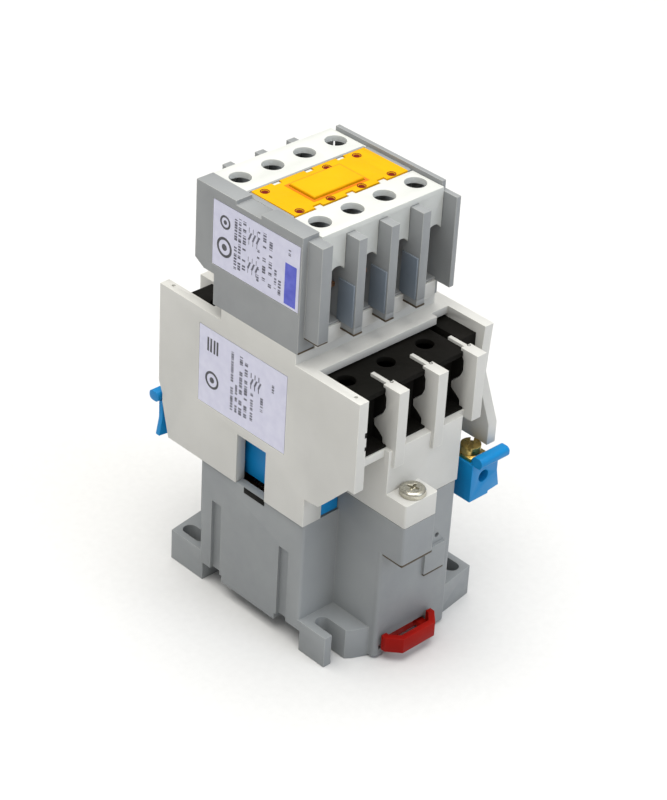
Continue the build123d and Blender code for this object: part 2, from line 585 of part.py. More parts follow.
def aux_cover():
    """White terminal cover of the near row: top strip with screw holes and front walls with wire entries."""
    x0, x1 = AUX_COVER_X
    part = block((x0, x1), (AUX_COVER_FRONT, AUX_COVER_BACK), (AUX_COVER_TOP - 1.8, AUX_COVER_TOP))
    edges = [5.6] + [x + side * AUX_FIN_THICK / 2 for x in AUX_FIN_X for side in (-1, 1)] + [49.6]
    for left, right in zip(edges[0::2], edges[1::2]):
        depth = (AUX_COVER_FRONT - 1, AUX_COVER_FRONT + 3)
        wall_y = (AUX_COVER_FRONT, AUX_COVER_FRONT + 1.2)
        wall = block((left + 0.15, right - 0.15), wall_y, (104.6, AUX_COVER_TOP - 1))
        entry = block((left + 2.6, right + 1), depth, (103.0, 112.6)) + rod_y(right - 2.7, depth, 112.6, 2.9)
        part += wall - entry
    for x in AUX_SCREW_X:
        part -= rod(x, AUX_SCREW_Y, (AUX_COVER_TOP - 3, AUX_COVER_TOP + 1), AUX_SCREW_HOLE_R)
    return part


def aux_cover_tabs(y):
    """Small tabs that reach into the notches of the top cover."""
    z = (AUX_COVER_TOP - 1.8, AUX_COVER_TOP)
    tabs = [block((x + 0.3, x + AUX_NOTCH_WIDTH - 0.3), y, z) for x in AUX_NOTCH_X]
    return tabs[0] + tabs[1] + tabs[2]


def aux_cover_near():
    return aux_cover() + aux_cover_tabs((AUX_COVER_BACK - 0.5, AUX_COVER_BACK + 1.3))


def aux_cover_far():
    """Cover of the far row: its strip is wider, and its walls end above the slope of the body."""
    part = mirrored(aux_cover(), AUX_MID_Y)
    part += block(AUX_COVER_X, (AUX_FAR_COVER_EDGE, 55.0), (AUX_COVER_TOP - 1.8, AUX_COVER_TOP))
    return part + aux_cover_tabs((AUX_FAR_COVER_EDGE - 1.3, AUX_FAR_COVER_EDGE + 0.5))


def aux_screws():
    screws = []
    for x in AUX_SCREW_X:
        screw = rod(x, AUX_SCREW_Y, (119.6, AUX_HEAD_TOP), 2.8) + rod(x, AUX_SCREW_Y, (106.6, 120.0), 1.6)
        for angle in (20, 110):
            screw -= Pos(x, AUX_SCREW_Y, AUX_HEAD_TOP) * Rot(0, 0, angle) * Box(3.8, 0.8, 2.2)
        screws.append(screw)
    return joined(screws + [mirrored(screw, AUX_MID_Y) for screw in screws])


def aux_clamps():
    """Square clamping washers under the screw heads."""
    clamps = []
    for x in AUX_SCREW_X:
        clamp = block((x - 3.2, x + 3.2), (AUX_SCREW_Y - 3.2, AUX_SCREW_Y + 3.2), (118.6, 119.6))
        clamps.append(clamp - rod(x, AUX_SCREW_Y, (118, 121), 1.6 + GAP))
    return joined(clamps + [mirrored(clamp, AUX_MID_Y) for clamp in clamps])


def aux_fixed_contacts():
    """Terminal bars of the auxiliary block, one for each screw, running in to a silver tip."""
    bars = []
    for x in AUX_SCREW_X:
        bar = block((x - 2.7, x + 2.7), (25.0, 38.6), AUX_BAR_Z)
        bar += rod(x, AUX_TIP_Y, (AUX_BAR_Z[1] - 0.2, AUX_TIP_TOP), 1.1)
        bars.append(bar - rod(x, AUX_SCREW_Y, (107, 111), 1.6 + GAP))
    return joined(bars + [mirrored(bar, AUX_MID_Y) for bar in bars])


def aux_carrier():
    """Yellow slider: indicator pad in the top cover, stem with a window for each bridge, drive foot."""
    (x0, x1), (y0, y1) = AUX_SLIDER
    pad = block((x0, x1), (y0, y1), (121.4, AUX_CAP_TOP + 0.9))
    pad = softened(pad, 0.5, lambda p: p.edges().group_by(Axis.Z)[-1])
    body = block((8.0, 48.6), (41.2, 47.0), (104.2, 121.8))
    for x in AUX_SCREW_X:
        body -= block((x - 3.4, x + 3.4), (40, 48), (AUX_BRIDGE_TIP - 0.4, AUX_BRIDGE_Z[1] + 0.1))
    foot = block((22.0, 34.0), (36.4, 43.6), (98.6, 105.0))
    return pad + body + foot


def aux_bridges():
    bridges = []
    for x in AUX_SCREW_X:
        bridge = block((x - 2.4, x + 2.4), (36.1, 2 * AUX_MID_Y - 36.1), AUX_BRIDGE_Z)
        for y in (AUX_TIP_Y, 2 * AUX_MID_Y - AUX_TIP_Y):
            bridge += rod(x, y, (AUX_BRIDGE_TIP, AUX_BRIDGE_Z[0] + 0.2), 1.0)
        bridges.append(bridge)
    return joined(bridges)


def aux_top_cover():
    """Yellow top cover with castellated edges, seven small holes and the slider's window."""
    (x0, x1), (y0, y1) = AUX_TOP_CAP
    cap = block((x0, x1), (y0, y1), (AUX_CAP_TOP - 2.6, AUX_CAP_TOP))
    for x in AUX_NOTCH_X:
        for y in ((y0 - 1, y0 + 1.3), (y1 - 1.3, y1 + 1)):
            cap -= block((x, x + AUX_NOTCH_WIDTH), y, (123, 128))
    for y, row in AUX_SOCKETS:
        for x in row:
            cap -= rod(x, y, (AUX_CAP_TOP - 2.1, 128), 0.9)
    (s0, s1), (t0, t1) = AUX_SLIDER
    return cap - block((s0 - 0.3, s1 + 0.3), (t0 - 0.3, t1 + 0.3), (123, 128))


# ---------------------------------------------------------------- output
def main():
    os.makedirs(OUT, exist_ok=True)
    write_node("base_housing", base_housing())
    write_node("rail_latch", rail_latch())
    write_node("latch_spring", latch_spring())
    write_node("upper_housing", upper_housing())
    write_node("terminal_shroud", terminal_shroud())
    write_node("housing_screws", housing_screws())
    write_node("fixed_core", fixed_core())
    write_node("shading_rings", shading_rings())
    write_node("core_cushion", core_cushion())
    write_node("coil_bobbin", coil_bobbin())
    write_node("coil_winding", coil_winding())
    write_node("coil_terminal_screws", coil_terminal_screws())
    write_node("return_spring", return_spring())
    write_node("armature", armature())
    bars = fixed_contacts()
    write_node("load_terminal_bars", joined(bars))
    write_node("line_terminal_bars", joined([mirrored(bar) for bar in bars]))
    plates = clamp_plates()
    write_node("terminal_clamp_plates", joined(plates + [mirrored(plate) for plate in plates]))
    screws = terminal_screws()
    write_node("power_terminal_screws", joined(screws + [mirrored(screw) for screw in screws]))
    write_node("contact_carrier", contact_carrier())
    write_node("moving_bridges", moving_bridges())
    write_node("contact_springs", contact_springs())
    write_node("contactor_label", contactor_label())
    write_node("aux_housing", aux_housing())
    write_node("aux_terminal_cover_near", aux_cover_near())
    write_node("aux_terminal_cover_far", aux_cover_far())
    write_node("aux_top_cover", aux_top_cover())
    write_node("aux_carrier", aux_carrier())
    write_node("aux_bridges", aux_bridges())
    write_node("aux_terminal_bars", aux_fixed_contacts())
    write_node("aux_clamps", aux_clamps())
    write_node("aux_terminal_screws", aux_screws())
    write_node("aux_label", aux_label())


main()
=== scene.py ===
"""Looks of a rail-mounted magnetic motor starter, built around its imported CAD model.

Mouldings and screws get softened copies with rounded edges, the other parts get their own
finishes, and the printing, sockets, trim, ledges and marks are modelled as new pieces.
Places are in metres and come from the boxes of the CAD nodes. Sizes along the housing are in
millimetres from its corner.
"""

import json
import logging
import math
from dataclasses import dataclass, field
from enum import Enum
from typing import Callable, Iterable

import bpy
from mathutils import Matrix, Vector

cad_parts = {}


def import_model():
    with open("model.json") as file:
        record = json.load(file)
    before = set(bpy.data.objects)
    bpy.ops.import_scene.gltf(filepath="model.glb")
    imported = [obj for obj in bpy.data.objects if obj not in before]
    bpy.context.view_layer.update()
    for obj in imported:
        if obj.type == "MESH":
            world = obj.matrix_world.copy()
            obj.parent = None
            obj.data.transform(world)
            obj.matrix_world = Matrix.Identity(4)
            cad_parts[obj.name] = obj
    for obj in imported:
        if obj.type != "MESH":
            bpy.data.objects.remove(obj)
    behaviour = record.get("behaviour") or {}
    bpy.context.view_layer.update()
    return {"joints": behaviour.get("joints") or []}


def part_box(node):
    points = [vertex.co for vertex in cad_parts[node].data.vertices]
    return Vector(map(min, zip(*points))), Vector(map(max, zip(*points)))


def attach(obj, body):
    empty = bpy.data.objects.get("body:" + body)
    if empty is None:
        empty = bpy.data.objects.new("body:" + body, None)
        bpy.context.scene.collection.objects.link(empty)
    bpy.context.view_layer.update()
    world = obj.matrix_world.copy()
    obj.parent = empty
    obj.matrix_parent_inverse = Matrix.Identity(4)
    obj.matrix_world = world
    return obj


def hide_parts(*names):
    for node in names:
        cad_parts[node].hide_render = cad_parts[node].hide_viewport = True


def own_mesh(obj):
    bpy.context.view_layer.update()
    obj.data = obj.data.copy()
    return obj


LOG = logging.getLogger("starter")
MM = 0.001
SMOOTH_ANGLE = math.radians(40.0)
FINE_ROUNDING = 0.06 * MM

# Range that most noise values fall in, and the mix node's sockets for colours.
NOISE_LOW, NOISE_HIGH = 0.3, 0.7
MIX_FACTOR, MIX_FIRST, MIX_SECOND, MIX_COLOUR = 0, 6, 7, 2

# Reach of the screw bosses past the housing's body, and the middles of the auxiliary block's
# three inner fins, in millimetres from the housing's corner.
BOSS_REACH = 6.4
FIN_MIDDLES = (15.9, 27.4, 38.8)

Colour = tuple[float, float, float]
Tint = Colour | bpy.types.NodeSocket
FaceRule = Callable[[Vector, Vector], bool]


class Body(Enum):
    """Bodies of the CAD model that a piece can ride on."""

    FIXED = "root"
    SLIDER = "aux_slider"
    LATCH = "latch"


def housing_corner() -> Vector:
    """Find the corner of the housing's body at the label side and the near end.

    Returns:
        The corner, at the level of the feet. The screw bosses stand out past it.
    """
    low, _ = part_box("upper_housing")
    return Vector((low[0], low[1] + BOSS_REACH * MM, 0.0))


# ------------------------------------------------------------------ materials
class NodeBoard:
    """A material's node tree, with short ways to add and join nodes."""

    def __init__(self, name: str) -> None:
        """Start an empty board.

        Args:
            name: Name of the material.
        """
        self.material = bpy.data.materials.new(name)
        self.material.use_nodes = True
        self.tree = self.material.node_tree
        self.tree.nodes.clear()
        self.shader = self.add("ShaderNodeBsdfPrincipled")
        output = self.add("ShaderNodeOutputMaterial")
        self.join(self.shader.outputs["BSDF"], output.inputs["Surface"])
        self.place = self.add("ShaderNodeTexCoord").outputs["Object"]

    def add(self, kind: str, **values: object) -> bpy.types.Node:
        """Add one node.

        Args:
            kind: Node type.
            **values: Node properties, or socket values by socket name with underscores.

        Returns:
            The new node.
        """
        node = self.tree.nodes.new(kind)
        for key, value in values.items():
            if hasattr(node, key):
                setattr(node, key, value)
            else:
                node.inputs[key.replace("_", " ")].default_value = value
        return node

    def join(self, source: bpy.types.NodeSocket, target: bpy.types.NodeSocket) -> None:
        """Link an output to an input."""
        self.tree.links.new(source, target)

    def noise(self, scale: float, detail: float = 3.0,
              stretch: Colour = (1.0, 1.0, 1.0)) -> bpy.types.NodeSocket:
        """Noise that sits in the object's own space.

        Args:
            scale: Cells for each metre.
            detail: Octaves.
            stretch: Factor along each axis.

        Returns:
            The noise's factor output.
        """
        mapping = self.add("ShaderNodeMapping")
        mapping.inputs["Scale"].default_value = stretch
        self.join(self.place, mapping.inputs["Vector"])
        texture = self.add("ShaderNodeTexNoise", Scale=scale, Detail=detail)
        self.join(mapping.outputs["Vector"], texture.inputs["Vector"])
        return texture.outputs["Fac"]

    def spread(self, source: bpy.types.NodeSocket, low: float, high: float) -> bpy.types.NodeSocket:
        """Map the usual range of noise to a range of values.

        Args:
            source: Output that carries the noise.
            low: Value for low noise.
            high: Value for high noise.

        Returns:
            The mapped output.
        """
        node = self.add("ShaderNodeMapRange")
        node.inputs["From Min"].default_value = NOISE_LOW
        node.inputs["From Max"].default_value = NOISE_HIGH
        node.inputs["To Min"].default_value = low
        node.inputs["To Max"].default_value = high
        self.join(source, node.inputs["Value"])
        return node.outputs["Result"]

    def blend(self, factor: bpy.types.NodeSocket, first: Tint, second: Tint) -> bpy.types.NodeSocket:
        """Mix two colours, each a colour or an output.

        Args:
            factor: Share of the second colour.
            first: Colour at factor 0.
            second: Colour at factor 1.

        Returns:
            The mixed colour output.
        """
        node = self.add("ShaderNodeMix", data_type="RGBA")
        self.join(factor, node.inputs[MIX_FACTOR])
        for socket, value in ((node.inputs[MIX_FIRST], first), (node.inputs[MIX_SECOND], second)):
            if isinstance(value, bpy.types.NodeSocket):
                self.join(value, socket)
            else:
                socket.default_value = (*value, 1.0)
        return node.outputs[MIX_COLOUR]

    def relief(self, height: bpy.types.NodeSocket, depth: float) -> None:
        """Press a height field into the surface's normal.

        Args:
            height: Output that carries the height.
            depth: Distance from low to high, in metres.
        """
        bump = self.add("ShaderNodeBump", Strength=1.0, Distance=depth)
        self.join(height, bump.inputs["Height"])
        self.join(bump.outputs["Normal"], self.shader.inputs["Normal"])

    def edges(self, radius: float, gain: float) -> bpy.types.NodeSocket:
        """Mask that rises towards sharp edges.

        Args:
            radius: How far from an edge the mask reaches.
            gain: How strong it is on the edge.

        Returns:
            The mask output, from 0 to 1.
        """
        bevel = self.add("ShaderNodeBevel", samples=4, Radius=radius)
        plain = self.add("ShaderNodeNewGeometry")
        dot = self.add("ShaderNodeVectorMath", operation="DOT_PRODUCT")
        self.join(bevel.outputs["Normal"], dot.inputs[0])
        self.join(plain.outputs["Normal"], dot.inputs[1])
        turn = self.add("ShaderNodeMapRange")
        turn.inputs["From Min"].default_value = 1.0
        turn.inputs["From Max"].default_value = 0.75
        turn.inputs["To Min"].default_value = 0.0
        turn.inputs["To Max"].default_value = gain
        self.join(dot.outputs["Value"], turn.inputs["Value"])
        return turn.outputs["Result"]


@dataclass(frozen=True)
class Plastic:
    """Moulded thermoplastic: fine spark-eroded grain, soft clouding, edges paler from rubbing and from a
    painted highlight.
    """

    name: str
    colour: Colour
    cloud: Colour
    # Paler edge colour: rubbing wear together with a painted highlight where light catches the edges.
    rubbed_and_lit: Colour
    roughness: float = 0.5
    grain: float = 2600.0
    grain_depth: float = 0.000012
    gloss: float = 0.0
    edge_gain: float = 0.35
    shine: float = 0.4
    cloud_scale: float = 55.0
    rub_and_highlight_reach: float = 0.4 * MM
    coat_roughness: float = 0.22

    def material(self) -> bpy.types.Material:
        """Build the material.

        Returns:
            The new material.
        """
        board = NodeBoard(self.name)
        patches = board.spread(board.noise(self.cloud_scale, 4.0), 0.0, 1.0)
        clouding = board.blend(patches, self.colour, self.cloud)
        # Edges are mixed towards the paler colour: partly rubbing wear, partly a painted highlight.
        worn_and_lit = board.blend(board.edges(self.rub_and_highlight_reach, self.edge_gain), clouding, self.rubbed_and_lit)
        board.join(worn_and_lit, board.shader.inputs["Base Color"])
        board.join(board.spread(board.noise(300.0), self.roughness - 0.06, self.roughness + 0.08),
                   board.shader.inputs["Roughness"])
        board.relief(board.noise(self.grain, 2.0), self.grain_depth)
        board.shader.inputs["Specular IOR Level"].default_value = self.shine
        board.shader.inputs["Coat Weight"].default_value = self.gloss
        board.shader.inputs["Coat Roughness"].default_value = self.coat_roughness
        return board.material


@dataclass(frozen=True)
class Metal:
    """Plated, drawn or rolled metal with fine working marks."""

    name: str
    colour: Colour
    tarnish: Colour
    roughness: float = 0.3
    marks: Colour = (1.0, 1.0, 6.0)
    mark_scale: float = 900.0
    mark_depth: float = 0.000006
    tarnish_scale: float = 260.0

    def material(self) -> bpy.types.Material:
        """Build the material.

        Returns:
            The new material.
        """
        board = NodeBoard(self.name)
        marks = board.noise(self.mark_scale, 3.0, self.marks)
        dulling = board.spread(board.noise(self.tarnish_scale, 4.0), 0.0, 0.8)
        board.join(board.blend(dulling, self.colour, self.tarnish), board.shader.inputs["Base Color"])
        board.join(board.spread(marks, self.roughness - 0.08, self.roughness + 0.12),
                   board.shader.inputs["Roughness"])
        board.relief(marks, self.mark_depth)
        board.shader.inputs["Metallic"].default_value = 1.0
        return board.material


@dataclass(frozen=True)
class Laminations:
    """Stack of thin iron sheets, seen as fine stripes across the stack."""

    name: str
    colour: Colour
    gap: Colour
    stripe_scale: float = 320.0
    stripe_depth: float = 0.00004

    def material(self) -> bpy.types.Material:
        """Build the material.

        Returns:
            The new material.
        """
        board = NodeBoard(self.name)
        stripes = board.add("ShaderNodeTexWave", wave_type="BANDS", bands_direction="Y",
                            Scale=self.stripe_scale, Distortion=0.4)
        board.join(board.place, stripes.inputs["Vector"])
        board.join(board.blend(stripes.outputs["Fac"], self.gap, self.colour),
                   board.shader.inputs["Base Color"])
        board.join(board.spread(board.noise(500.0), 0.4, 0.62), board.shader.inputs["Roughness"])
        board.relief(stripes.outputs["Fac"], self.stripe_depth)
        board.shader.inputs["Metallic"].default_value = 0.85
        return board.material


@dataclass(frozen=True)
class Ink:
    """Printing ink or printed film: even colour with a slight fading."""

    name: str
    colour: Colour
    faded: Colour
    roughness: float = 0.45
    texture_depth: float = 0.000004

    def material(self) -> bpy.types.Material:
        """Build the material.

        Returns:
            The new material.
        """
        board = NodeBoard(self.name)
        fade = board.spread(board.noise(420.0, 3.0), 0.0, 1.0)
        board.join(board.blend(fade, self.colour, self.faded), board.shader.inputs["Base Color"])
        board.join(board.spread(board.noise(900.0), self.roughness - 0.05, self.roughness + 0.07),
                   board.shader.inputs["Roughness"])
        board.relief(board.noise(1800.0, 2.0), self.texture_depth)
        return board.material


Finish = Plastic | Metal | Laminations | Ink

# The third colour of each plastic is its paler edge: rubbing wear and a painted highlight, cream on the
# whites where light catches the top edges.
HOUSING_WHITE = Plastic("housing_white", (0.535, 0.53, 0.505), (0.575, 0.57, 0.545), (0.88, 0.87, 0.79),
                        0.46, edge_gain=0.55)
COVER_WHITE = Plastic("cover_white", (0.56, 0.57, 0.55), (0.61, 0.62, 0.59), (0.86, 0.86, 0.78), 0.44,
                      edge_gain=0.5)
BASE_GREY = Plastic("base_grey", (0.235, 0.248, 0.258), (0.262, 0.276, 0.282), (0.46, 0.47, 0.46), 0.47,
                    edge_gain=0.45)
AUX_GREY = Plastic("aux_grey", (0.240, 0.250, 0.258), (0.270, 0.280, 0.284), (0.58, 0.58, 0.54), 0.47,
                   edge_gain=0.6)
# Darker bluish copy of the aux grey plastic, painted as the shade on the fins' lower sides.
FIN_SIDE_PAINTED_SHADE = Plastic("fin_side_painted_shade", (0.165, 0.20, 0.245), (0.19, 0.225, 0.27), (0.42, 0.47, 0.52), 0.47,
                   edge_gain=0.7)
SHROUD_BLACK = Plastic("shroud_black", (0.004, 0.004, 0.003), (0.007, 0.006, 0.005),
                       (0.012, 0.012, 0.011), 0.6, edge_gain=0.2, shine=0.08)
COIL_BLUE = Plastic("coil_blue", (0.004, 0.19, 0.47), (0.006, 0.225, 0.53), (0.03, 0.36, 0.70), 0.36,
                    gloss=0.04, grain_depth=0.000006, shine=0.15)
CAP_YELLOW = Plastic("cap_yellow", (0.66, 0.335, 0.002), (0.74, 0.385, 0.003), (0.90, 0.55, 0.02), 0.42,
                     grain_depth=0.000006, shine=0.06)
CAP_ORANGE = Plastic("cap_orange", (0.62, 0.15, 0.002), (0.70, 0.19, 0.003), (0.80, 0.28, 0.01), 0.45,
                     shine=0.2)
LATCH_RED = Plastic("latch_red", (0.25, 0.005, 0.003), (0.32, 0.008, 0.004), (0.55, 0.03, 0.02), 0.40,
                    grain_depth=0.000006, shine=0.08)
SOCKET_RED = Plastic("socket_red", (0.11, 0.003, 0.001), (0.17, 0.006, 0.002), (0.35, 0.03, 0.01), 0.5,
                     shine=0.15)
RUBBER = Plastic("cushion_rubber", (0.02, 0.02, 0.02), (0.03, 0.03, 0.03), (0.06, 0.06, 0.06), 0.75)
WINDING = Plastic("winding_tape", (0.42, 0.20, 0.05), (0.5, 0.26, 0.08), (0.6, 0.35, 0.12), 0.5,
                  grain=900.0)
ZINC = Metal("zinc_plate", (0.60, 0.58, 0.50), (0.42, 0.40, 0.33), 0.30)
BRIGHT_ZINC = Metal("bright_zinc", (0.84, 0.87, 0.92), (0.66, 0.69, 0.74), 0.52)
SPRING_WIRE = Metal("spring_wire", (0.50, 0.50, 0.50), (0.38, 0.38, 0.37), 0.28)
BRASS = Metal("brass", (0.66, 0.50, 0.17), (0.40, 0.28, 0.09), 0.30)
COPPER = Metal("copper_bar", (0.62, 0.33, 0.18), (0.42, 0.20, 0.10), 0.32)
CORE_IRON = Laminations("core_iron", (0.30, 0.29, 0.28), (0.06, 0.055, 0.05))
LABEL_FILM = Ink("label_film", (0.57, 0.57, 0.71), (0.63, 0.63, 0.76), 0.40)
PRINT_BLACK = Ink("print_black", (0.02, 0.02, 0.025), (0.07, 0.07, 0.085))
PRINT_GREY = Ink("print_grey", (0.05, 0.05, 0.07), (0.13, 0.13, 0.18))
PRINT_BLUE = Ink("print_blue", (0.05, 0.065, 0.48), (0.10, 0.12, 0.58))
# Dark brown for painted shadow lines under edges, bosses and fins.
PAINTED_SHADOW_LINE = Ink("painted_shadow_line", (0.040, 0.026, 0.012), (0.075, 0.052, 0.028), 0.6)
FLOOR_PAINT = Ink("floor_paint", (0.65, 0.65, 0.65), (0.67, 0.67, 0.67), 0.8)


class Paintbox:
    """Keeps one built material for each finish."""

    def __init__(self) -> None:
        """Start with no materials."""
        self.built: dict[str, bpy.types.Material] = {}

    def dress(self, piece: bpy.types.Object, finish: Finish) -> None:
        """Give a piece a single finish.

        Args:
            piece: Mesh object to dress.
            finish: Its finish.
        """
        if finish.name not in self.built:
            self.built[finish.name] = finish.material()
        piece.data.materials.clear()
        piece.data.materials.append(self.built[finish.name])
        for polygon in piece.data.polygons:
            polygon.material_index = 0


# ------------------------------------------------------------------ modelling by hand tools
class Bench:
    """Shapes one object at a time with edit-mode operators."""

    def __init__(self, paintbox: Paintbox) -> None:
        """Keep the paintbox that finished pieces are dressed from."""
        self.paintbox = paintbox

    def take(self, piece: bpy.types.Object) -> None:
        """Make one object the only selected and active one.

        Args:
            piece: The object.
        """
        bpy.ops.object.select_all(action="DESELECT")
        piece.select_set(True)
        bpy.context.view_layer.objects.active = piece

    def settle(self, piece: bpy.types.Object, name: str) -> bpy.types.Object:
        """Name a piece and move its place, turn and size into its mesh.

        Args:
            piece: Object to settle.
            name: Its name.

        Returns:
            The same piece.
        """
        piece.name = name
        piece.data.name = name
        self.take(piece)
        bpy.ops.object.transform_apply(location=True, rotation=True, scale=True)
        return piece

    def block(self, name: str, low: Iterable[float], high: Iterable[float]) -> bpy.types.Object:
        """Start a piece from a cube between two corners.

        Args:
            name: Its name.
            low: Lowest corner.
            high: Highest corner.

        Returns:
            The new piece.
        """
        a, b = Vector(low), Vector(high)
        bpy.ops.object.select_all(action="DESELECT")
        bpy.ops.mesh.primitive_cube_add(size=1.0, location=(a + b) / 2, scale=b - a)
        return self.settle(bpy.context.object, name)

    def drum(self, name: str, centre: Iterable[float], radius: float, depth: float,
             sides: int = 32) -> bpy.types.Object:
        """Start a piece from an upright cylinder.

        Args:
            name: Its name.
            centre: Middle of the cylinder.
            radius: Its radius.
            depth: Its height.
            sides: Number of sides.

        Returns:
            The new piece.
        """
        bpy.ops.object.select_all(action="DESELECT")
        bpy.ops.mesh.primitive_cylinder_add(vertices=sides, radius=radius, depth=depth,
                                            location=tuple(centre))
        return self.settle(bpy.context.object, name)

    def pick(self, piece: bpy.types.Object, rule: FaceRule) -> None:
        """Select the faces that a rule picks, and stay in edit mode.

        Args:
            piece: Mesh object.
            rule: Called with a face's centre and normal.
        """
        self.take(piece)
        bpy.ops.object.mode_set(mode="EDIT")
        bpy.ops.mesh.select_mode(type="FACE")
        bpy.ops.mesh.select_all(action="DESELECT")
        bpy.ops.object.mode_set(mode="OBJECT")
        for face in piece.data.polygons:
            face.select = rule(face.center, face.normal)
        bpy.ops.object.mode_set(mode="EDIT")

    def leave(self) -> None:
        """Go back to object mode."""
        bpy.ops.object.mode_set(mode="OBJECT")

    def hollow(self, piece: bpy.types.Object, rim: float, depth: float) -> None:
        """Sink the top faces inside a rim.

        Args:
            piece: Mesh object.
            rim: Width of the rim that stays.
            depth: How deep the middle goes.
        """
        self.pick(piece, lambda centre, normal: normal.z > 0.9)
        bpy.ops.mesh.inset(thickness=rim, depth=0.0)
        bpy.ops.mesh.extrude_region_move(TRANSFORM_OT_translate={"value": (0.0, 0.0, -depth)})
        self.leave()

    def round_off(self, piece: bpy.types.Object, width: float, segments: int = 2,
                  angle: float = 35.0) -> None:
        """Round the sharp edges of a piece with a bevel, and smooth its shading.

        Args:
            piece: Mesh object.
            width: Width of the bevel.
            segments: Steps across it.
            angle: Edges sharper than this many degrees are rounded.
        """
        self.take(piece)
        bevel = piece.modifiers.new("rounded", "BEVEL")
        bevel.width = width
        bevel.segments = segments
        bevel.limit_method = "ANGLE"
        bevel.angle_limit = math.radians(angle)
        bevel.use_clamp_overlap = True
        bpy.ops.object.modifier_apply(modifier=bevel.name)
        bpy.ops.object.shade_smooth_by_angle(angle=SMOOTH_ANGLE)

    def copy_of(self, node: str, name: str) -> bpy.types.Object:
        """Copy a CAD node's mesh with its triangles merged into clean faces.

        Args:
            node: CAD node to copy.
            name: Name of the copy.

        Returns:
            The new piece.
        """
        source = bpy.data.objects[node]
        piece = bpy.data.objects.new(name, source.data.copy())
        bpy.context.scene.collection.objects.link(piece)
        self.take(piece)
        bpy.ops.object.mode_set(mode="EDIT")
        bpy.ops.mesh.select_mode(type="VERT")
        bpy.ops.mesh.select_all(action="SELECT")
        bpy.ops.mesh.remove_doubles(threshold=2e-6)
        bpy.ops.mesh.dissolve_limited(angle_limit=math.radians(1.0))
        bpy.ops.mesh.normals_make_consistent(inside=False)
        bpy.ops.object.mode_set(mode="OBJECT")
        return piece

    def finish(self, piece: bpy.types.Object, finish: Finish, slot: str,
               body: Body = Body.FIXED) -> None:
        """Dress a piece, set it on its body and report it.

        Args:
            piece: Finished mesh object.
            finish: Its finish.
            slot: Not used.
            body: Body that it rides on.
        """
        self.paintbox.dress(piece, finish)
        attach(piece, body.value)
        LOG.info("%s: %d faces, rides on %s", piece.name, len(piece.data.polygons), body.value)


# ------------------------------------------------------------------ CAD nodes
@dataclass
class SoftenedMouldings:
    """Mouldings and screws whose CAD node gives way to a copy with rounded edges."""

    bench: Bench
    radius: float = 0.22 * MM
    nodes: dict[str, tuple[Finish, str, Body]] = field(default_factory=lambda: {
        "base_housing": (BASE_GREY, "base_grey", Body.FIXED),
        "upper_housing": (HOUSING_WHITE, "housing_white", Body.FIXED),
        "terminal_shroud": (SHROUD_BLACK, "shroud_black", Body.FIXED),
        "coil_bobbin": (COIL_BLUE, "coil_blue", Body.FIXED),
        "aux_housing": (AUX_GREY, "aux_grey", Body.FIXED),
        "aux_terminal_cover_near": (COVER_WHITE, "cover_white", Body.FIXED),
        "aux_terminal_cover_far": (COVER_WHITE, "cover_white", Body.FIXED),
        "aux_top_cover": (CAP_YELLOW, "slider_yellow", Body.FIXED),
        "aux_carrier": (CAP_YELLOW, "slider_yellow", Body.SLIDER),
        "rail_latch": (LATCH_RED, "latch_red", Body.LATCH),
        "housing_screws": (ZINC, "plated_steel", Body.FIXED),
        "power_terminal_screws": (ZINC, "plated_steel", Body.FIXED),
        "aux_terminal_screws": (BRIGHT_ZINC, "plated_steel", Body.FIXED),
        "coil_terminal_screws": (BRASS, "brass", Body.FIXED),
    })

    def build(self) -> None:
        """Copy, round and dress each one."""
        for node, (finish, slot, body) in self.nodes.items():
            piece = self.bench.copy_of(node, f"{node}_soft")
            self.bench.round_off(piece, self.radius)
            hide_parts(node)
            self.bench.finish(piece, finish, slot, body)


@dataclass
class PlainNodes:
    """CAD nodes that are shown as they are, each in its own finish."""

    paintbox: Paintbox
    finishes: dict[str, Finish] = field(default_factory=lambda: {
        "latch_spring": SPRING_WIRE,
        "fixed_core": CORE_IRON,
        "shading_rings": COPPER,
        "core_cushion": RUBBER,
        "coil_winding": WINDING,
        "armature": CORE_IRON,
        "load_terminal_bars": COPPER,
        "line_terminal_bars": COPPER,
        "terminal_clamp_plates": ZINC,
        "contact_carrier": SHROUD_BLACK,
        "moving_bridges": COPPER,
        "contact_springs": SPRING_WIRE,
        "contactor_label": LABEL_FILM,
        "aux_bridges": COPPER,
        "aux_terminal_bars": COPPER,
        "aux_clamps": ZINC,
        "aux_label": LABEL_FILM,
    })

    def build(self) -> None:
        """Dress each node."""
        for node, finish in self.finishes.items():
            self.paintbox.dress(bpy.data.objects[node], finish)
            LOG.info("%s: finish %s", node, finish.name)


@dataclass
class ReturnSpring:
    """Return spring; the real one shortens as the armature comes down on the core, but this copy keeps its
    rest shape on the fixed body.
    """

    bench: Bench
    node: str = "return_spring"
    joint: str = "armature_travel"
    clearance: float = 0.1 * MM

    def build(self, joints: list[dict[str, object]]) -> None:
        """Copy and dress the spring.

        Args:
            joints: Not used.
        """
        piece = self.bench.copy_of(self.node, "return_spring_coil")
        bpy.ops.object.shade_smooth_by_angle(angle=SMOOTH_ANGLE)
        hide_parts(self.node)
        self.bench.finish(piece, SPRING_WIRE, "spring_steel")
        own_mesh(piece)


